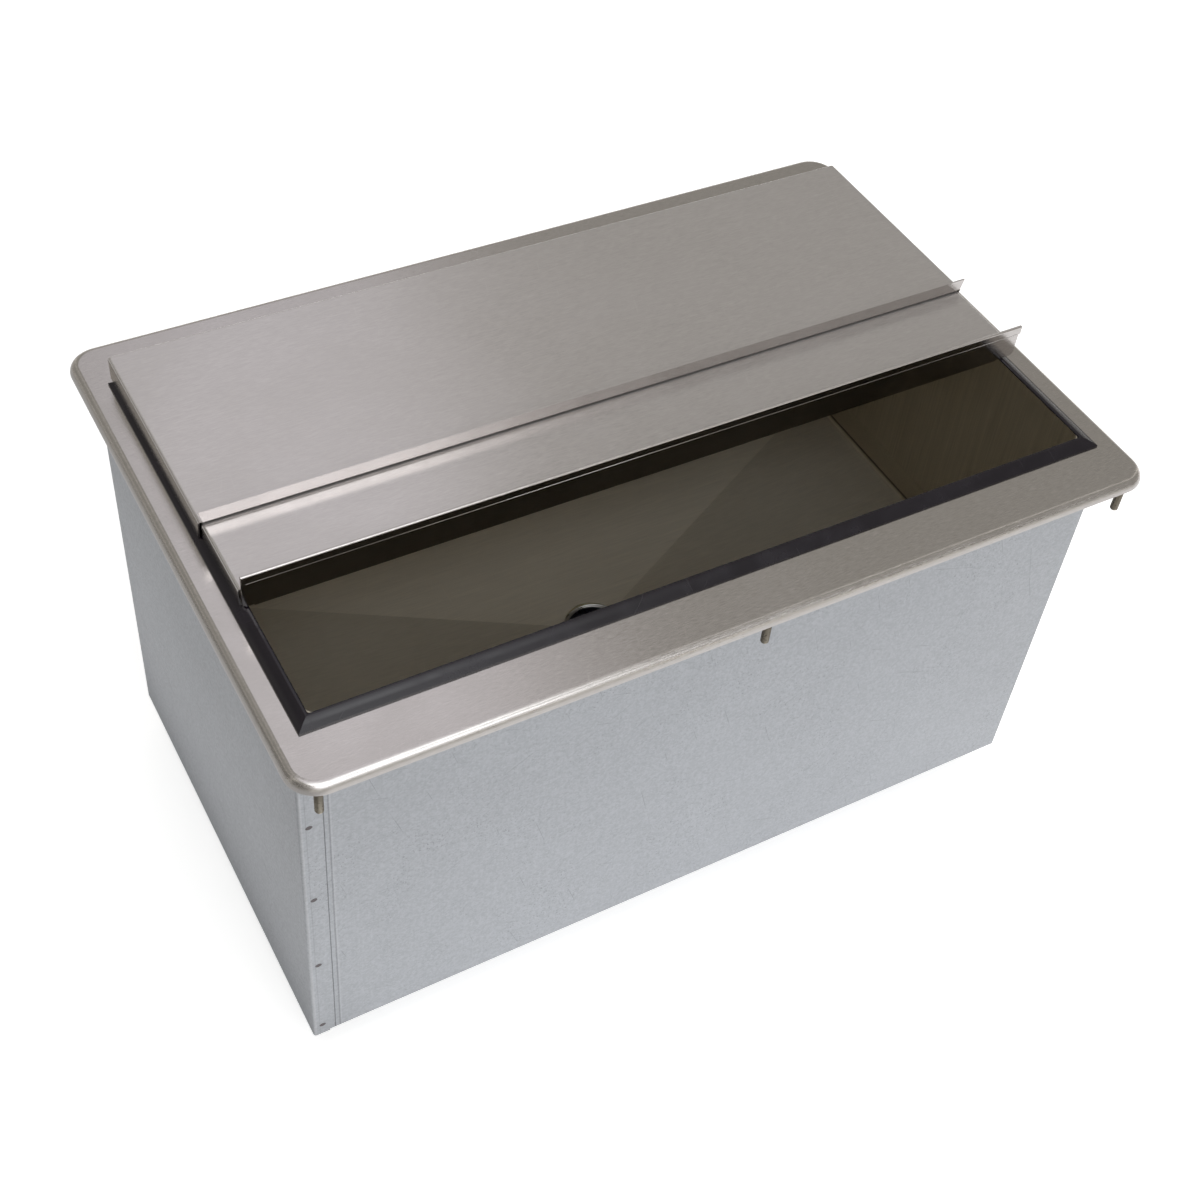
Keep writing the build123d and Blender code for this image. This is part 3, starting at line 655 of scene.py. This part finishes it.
def finish_nodes():
    """Gives every CAD node the material of its slot, and the well's two sheets their own."""
    drain_low, drain_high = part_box("drain_coupling")
    by_slot = {
        "deck_steel": brushed_steel(
            "deck_sheet", DECK_STEEL, STREAKS_ALONG_X, roughness=0.165, contrast=0.13, polish=1.5,
        ),
        "lid_steel": brushed_steel(
            "lid_sheet", LID_STEEL, STREAKS_ALONG_X, roughness=0.15, haze=0.3, contrast=0.13,
            polish=0.75,
        ),
        "galvanised": galvanised_steel(),
        "strip_black": black_strip(),
        "drain_steel": turned_steel((drain_low + drain_high) / 2, drain_high.z),
        "stud_steel": zinc_plated(),
        "grommet_rubber": matte_rubber(),
        "foam": rigid_foam(),
    }
    # The wall's upright faces that look to the rear get painted shade.
    wall_finish = brushed_steel(
        "well_wall_sheet", WELL_STEEL, WALL_STREAKS, roughness=0.30, contrast=0.14, rearward=0.35,
    )
    # The floor pan gets painted shade on facets that lean to the rear, and painted shade and
    # highlight on its cove.
    floor_finish = brushed_steel(
        "well_floor_sheet", WELL_STEEL, FLOOR_STREAKS, roughness=0.34, haze=0.5, lean_shade=1.1,
        painted_cove=True,
    )
    by_node = {"liner_wall_wrap": wall_finish, "liner_floor_pan": floor_finish}
    slots = {sub["node"]: sub["material_slot"] for sub in frame["record"]["subparts"]}
    for name, part in parts.items():
        for place_in_object in part.material_slots:
            place_in_object.material = by_node.get(name) or by_slot[slots[name]]
    return by_slot, wall_finish


# Pieces

def piece(name, mesh, material, body):
    """A new object of the mesh, riding on a body and finished with the given material."""
    data = bpy.data.meshes.new(name)
    mesh.normal_update()
    mesh.to_mesh(data)
    mesh.free()
    made = bpy.data.objects.new(name, data)
    bpy.context.scene.collection.objects.link(made)
    data.materials.append(material)
    data.shade_smooth()
    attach(made, body)
    return made


def bridge(mesh, ring, following):
    """Faces between two closed rings of vertices."""
    for side in range(len(ring)):
        after = (side + 1) % len(ring)
        mesh.faces.new((ring[side], following[side], following[after], ring[after]))


def stud_places():
    """Where the studs stand and their radius, from the mounts of the record."""
    mounts = {mount["name"]: mount for mount in frame["record"]["mounts"]}
    corners, middle = mounts["hold_down_studs"], mounts["hold_down_studs_middle"]
    half_x = corners["dims"]["spacing_x_mm"] / 2 * MM
    half_y = corners["dims"]["spacing_y_mm"] / 2 * MM
    places = [(x, y) for y in (-half_y, half_y) for x in (-half_x, middle["pos_m"][0], half_x)]
    return places, corners["dims"]["stud_r_mm"] * MM


def add_threaded_stud(mesh, centre, radius, low, high):
    """A weld stud with a helical thread, chamfered at its foot."""
    pitch_rows = len(THREAD_LEVELS)
    step = THREAD_PITCH / pitch_rows
    rows = int((high - low) / step) + pitch_rows
    grid = []
    for row in range(rows + 1):
        ring = []
        for side in range(THREAD_SIDES):
            turn = side / THREAD_SIDES
            z = low - THREAD_PITCH + row * step + turn * THREAD_PITCH
            inside = (1.0 - THREAD_LEVELS[row % pitch_rows]) * THREAD_DEPTH
            z = min(max(z, low), high)
            reach = min(radius - inside, radius - STUD_CHAMFER + (z - low))
            angle = turn * math.tau
            ring.append(mesh.verts.new((
                centre[0] + reach * math.cos(angle), centre[1] + reach * math.sin(angle), z,
            )))
        grid.append(ring)
    for row in range(rows):
        ring, above = grid[row], grid[row + 1]
        for side in range(THREAD_SIDES - 1):
            mesh.faces.new((ring[side], ring[side + 1], above[side + 1], above[side]))
        if row + 1 + pitch_rows <= rows:
            turn_on, turn_above = grid[row + pitch_rows], grid[row + 1 + pitch_rows]
            mesh.faces.new((ring[-1], turn_on[0], turn_above[0], above[-1]))
    mesh.faces.new(reversed(grid[0]))


def hold_down_studs(material):
    """Threaded studs in place of the plain ones."""
    places, radius = stud_places()
    low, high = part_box("hold_down_studs")
    mesh = bmesh.new()
    for centre in places:
        add_threaded_stud(mesh, centre, radius, low.z, high.z)
    bmesh.ops.remove_doubles(mesh, verts=mesh.verts, dist=MERGE_DISTANCE)
    made = piece("threaded_studs", mesh, material, "cabinet")
    made.data.shade_flat()
    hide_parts("hold_down_studs")


def spot_welds(material):
    """Shallow dished marks down the lap flange of the shell."""
    low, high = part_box("shell_rear_left")
    x = low.x + SPOT_WELD_FROM_CORNER
    mesh = bmesh.new()
    for index in range(SPOT_WELD_COUNT):
        z = SPOT_WELD_FIRST_Z - index * SPOT_WELD_PITCH
        rings = []
        for share, rise in SPOT_WELD_RINGS:
            ring = []
            for side in range(SPOT_WELD_SIDES):
                angle = side / SPOT_WELD_SIDES * math.tau
                ring.append(mesh.verts.new((
                    x + SPOT_WELD_RADIUS * share * math.cos(angle),
                    low.y - SPOT_WELD_RISE * rise,
                    z + SPOT_WELD_RADIUS * SPOT_WELD_FLATNESS * share * math.sin(angle),
                )))
            rings.append(ring)
        for inner, outer in zip(rings, rings[1:]):
            bridge(mesh, inner, outer)
        mesh.faces.new(rings[0])
    bmesh.ops.recalc_face_normals(mesh, faces=mesh.faces)
    piece("spot_weld_marks", mesh, material, "cabinet")


def well_weld_bead(material):
    """The ground weld between the well's wall wrap and its floor pan."""
    low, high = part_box("liner_floor_pan")
    inset = WELL_SHEET + WELL_CORNER_RADIUS
    left, right = low.x + inset, high.x - inset
    front, rear = low.y + inset, high.y - inset
    path = []
    for quarter, corner in enumerate(((right, rear), (left, rear), (left, front), (right, front))):
        for step in range(WELL_CORNER_STEPS + 1):
            angle = (quarter + step / WELL_CORNER_STEPS) / 4 * math.tau
            outward = Vector((math.cos(angle), math.sin(angle)))
            path.append((Vector(corner) + WELL_CORNER_RADIUS * outward, outward))
    mesh = bmesh.new()
    rings = []
    for at, outward in path:
        ring = []
        for out, up in WELD_BEAD_SECTION:
            on_wall = at + outward * out * WELD_BEAD_RISE
            ring.append(mesh.verts.new((*on_wall, high.z + up * WELD_BEAD_WIDTH)))
        rings.append(ring)
    for ring, following in zip(rings, rings[1:] + rings[:1]):
        for first in range(len(WELD_BEAD_SECTION) - 1):
            second = first + 1
            mesh.faces.new((ring[first], ring[second], following[second], following[first]))
    bmesh.ops.recalc_face_normals(mesh, faces=mesh.faces)
    piece("well_weld_bead", mesh, material, "cabinet")


def drain_rim(material):
    """The rounded rim of the drain ring, which catches the light from the opening."""
    low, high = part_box("drain_coupling")
    middle = (low + high) / 2
    outer = (high.x - low.x) / 2
    mesh = bmesh.new()
    rings = []
    for step in range(DRAIN_RIM_SIDES):
        angle = step / DRAIN_RIM_SIDES * math.tau
        ring = []
        for side in range(DRAIN_BEAD_SIDES):
            turn = side / DRAIN_BEAD_SIDES * math.tau
            reach = outer - DRAIN_RIM_RADIUS + DRAIN_RIM_RADIUS * math.cos(turn)
            ring.append(mesh.verts.new((
                middle.x + reach * math.cos(angle),
                middle.y + reach * math.sin(angle),
                high.z + DRAIN_RIM_RADIUS * math.sin(turn),
            )))
        rings.append(ring)
    for ring, following in zip(rings, rings[1:] + rings[:1]):
        bridge(mesh, ring, following)
    bmesh.ops.recalc_face_normals(mesh, faces=mesh.faces)
    piece("drain_ring_rim", mesh, material, "cabinet")


def hem_edge(material):
    """The rounded lower edge of the handle plate's hem, a thin line that catches the light."""
    low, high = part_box("front_lid_handle_plate")
    hem_foot = high.z - HEM_HEIGHT
    mesh = bmesh.new()
    rings = []
    for x in (low.x + HEM_EDGE_INSET, high.x - HEM_EDGE_INSET):
        ring = []
        for side in range(HEM_EDGE_SIDES):
            angle = side / HEM_EDGE_SIDES * math.tau
            ring.append(mesh.verts.new((
                x,
                low.y + HEM_EDGE_RADIUS * (HEM_EDGE_BACK - math.sin(angle)),
                hem_foot + HEM_EDGE_RADIUS * math.cos(angle),
            )))
        rings.append(ring)
    bridge(mesh, *rings)
    for ring in rings:
        mesh.faces.new(ring)
    bmesh.ops.recalc_face_normals(mesh, faces=mesh.faces)
    piece("hem_lower_edge", mesh, material, "front_lid")


# Room, light and camera

def pale_floor():
    """Pale and white to the camera. Mirror rays see it glow, with painted shade beside the bin's
    left side and a painted contact shadow at the foot of its left wall. The shadow on it stays."""
    material, tree, shader, where = new_material("pale_floor")
    base = between(tree, noise(tree, where, scale=5.0), FLOOR_WHITE, *FLOOR_TONES)
    rays = add(tree, "ShaderNodeLightPath").outputs
    mirror_ray = rays["Is Glossy Ray"]
    across = add(tree, "ShaderNodeSeparateXYZ", {0: where}).outputs
    beside = remap(tree, across["X"], *SIDE_SPAN, SIDE_GLOW, 1.0, smooth=True)
    ahead = remap(tree, across["Y"], *AHEAD_SPAN, *AHEAD_GLOW)
    behind_front = remap(tree, across["Y"], *CONTACT_START, smooth=True)
    # Painted contact shadow along the foot of the left wall, seen in mirror rays.
    painted_contact_shadow = band(
        tree, across["X"], CONTACT_PLACE, CONTACT_CORE, CONTACT_REACH, 1.0 - CONTACT_SHADE,
    )
    painted_contact_shadow = times(tree, painted_contact_shadow, behind_front)
    clear = maths(tree, "SUBTRACT", 1.0, painted_contact_shadow)
    mirrored = times(tree, mirror_ray, times(tree, beside, ahead))
    mirrored = times(tree, mirrored, clear)
    seen = maths(tree, "MAXIMUM", times(tree, rays["Is Camera Ray"], CAMERA_GLOW), mirrored)
    seen = maths(tree, "MAXIMUM", seen, rays["Is Transmission Ray"])
    # Painted shade beside the left side, seen in mirror rays.
    dim = times(tree, mirror_ray, maths(tree, "SUBTRACT", 1.0, beside))
    dimmed = mix_colours(tree, dim, base, shade(FLOOR_WHITE, SIDE_SHADE))
    contact_shadow_in_mirrors = times(tree, mirror_ray, painted_contact_shadow)
    drive(tree, shader, Roughness=FLOOR_ROUGHNESS, Emission_Color=WHITE,
          Base_Color=mix_colours(tree, contact_shadow_in_mirrors, dimmed, shade(FLOOR_WHITE, CONTACT_SHADE)),
          Emission_Strength=times(tree, seen, FLOOR_GLOW))
    return material


def studio_floor(material):
    """A plain floor at the lowest point of the bin."""
    half = FLOOR_HALF_SIZE
    corners = ((-half, -half), (half, -half), (half, half), (-half, half))
    mesh = bmesh.new()
    mesh.faces.new([mesh.verts.new((x, y, cad_box[0].z)) for x, y in corners])
    data = bpy.data.meshes.new("floor")
    mesh.to_mesh(data)
    mesh.free()
    floor = bpy.data.objects.new("floor", data)
    data.materials.append(material)
    bpy.context.scene.collection.objects.link(floor)


def bright_panel(tree, toward):
    """The panel above, narrower to the rear: where it is, how bright it is and its tint."""
    narrowed = remap(
        tree, toward["Y"], *NARROWING, 0.0, REAR_LEFT_EDGE - PANEL_LEFT_EDGE, smooth=True,
    )
    right = remap(
        tree, toward["X"], PANEL_RIGHT_EDGE - PANEL_BLUR, PANEL_RIGHT_EDGE + PANEL_BLUR, 1.0, 0.0,
        smooth=True,
    )
    left = remap(
        tree, maths(tree, "SUBTRACT", toward["X"], narrowed), PANEL_LEFT_EDGE - PANEL_BLUR,
        PANEL_LEFT_EDGE + PANEL_BLUR, smooth=True,
    )
    above = remap(tree, toward["Z"], *PANEL_RISE, smooth=True)
    panel = times(tree, times(tree, right, left), above)
    rearward = remap(tree, toward["Y"], *FRONT_TO_REAR, smooth=True)
    front = add_lights(tree, toward, PANEL_FRONT, LAMPS)
    rear = remap(
        tree, toward["Y"], *REAR_TO_FAR_REAR, PANEL_REAR, PANEL_REAR * FAR_REAR_SHARE, smooth=True,
    )
    tint = mix_colours(tree, rearward, PANEL_FRONT_TINT, PANEL_REAR_TINT)
    return panel, mix(tree, rearward, front, rear), tint


def add_lights(tree, toward, level, lights):
    """Adds long soft lights to a level of brightness."""
    for axis, middle, half, strength in lights:
        light = band(tree, toward[axis], middle, LIGHT_CORE * half, half, strength)
        level = plus(tree, level, light)
    return level


def studio_world():
    """White behind the object. For light and reflections a grey room with one broad bright panel
    above, two lamps on its front part, and long strip lights in the room."""
    world = bpy.data.worlds.new("studio")
    bpy.context.scene.world = world
    world.use_nodes = True
    tree = world.node_tree
    tree.nodes.clear()
    direction = tree.nodes.new("ShaderNodeTexCoord").outputs["Generated"]
    toward = add(tree, "ShaderNodeSeparateXYZ", {0: direction}).outputs
    panel, panel_level, panel_tint = bright_panel(tree, toward)
    room = remap(
        tree, toward["Z"], *HORIZON_TO_ROOM, HORIZON_LEVEL, ROOM_LEVEL, smooth=True,
    )
    left_side = remap(
        tree, toward["X"], *LEFT_SIDE_SPAN, LEFT_SIDE_SHARE, 1.0, smooth=True,
    )
    room = add_lights(tree, toward, times(tree, room, left_side), STRIP_LIGHTS)
    studio = add(tree, "ShaderNodeBackground", {
        "Color": mix_colours(tree, panel, ROOM_TINT, panel_tint),
        "Strength": mix(tree, panel, room, panel_level),
    })
    white = add(tree, "ShaderNodeBackground", {"Color": WHITE, "Strength": 1.0})
    seen = add(tree, "ShaderNodeLightPath").outputs["Is Camera Ray"]
    both = add(tree, "ShaderNodeMixShader", {0: seen, 1: studio.outputs[0], 2: white.outputs[0]})
    add(tree, "ShaderNodeOutputWorld", {"Surface": both.outputs[0]})


def photo_camera():
    """The camera that was solved from the straight edges in the photograph."""
    forward, up = Vector(CAMERA_FORWARD), Vector(CAMERA_UP)
    turned = Matrix((forward.cross(up), up, -forward)).transposed().to_4x4()
    lens = bpy.data.cameras.new("camera")
    lens.sensor_fit = "HORIZONTAL"
    lens.sensor_width = CAMERA_SENSOR
    lens.lens = CAMERA_LENS
    camera = bpy.data.objects.new("camera", lens)
    camera.matrix_world = Matrix.Translation(CAMERA_PLACE) @ turned
    bpy.context.scene.collection.objects.link(camera)
    bpy.context.scene.camera = camera


slot_materials, wall_material = finish_nodes()
hold_down_studs(slot_materials["stud_steel"])
spot_welds(scorched_weld())
well_weld_bead(wall_material)
drain_rim(slot_materials["drain_steel"])
hem_edge(slot_materials["lid_steel"])
studio_floor(pale_floor())
studio_world()
photo_camera()
bpy.context.scene.view_settings.view_transform = "Standard"
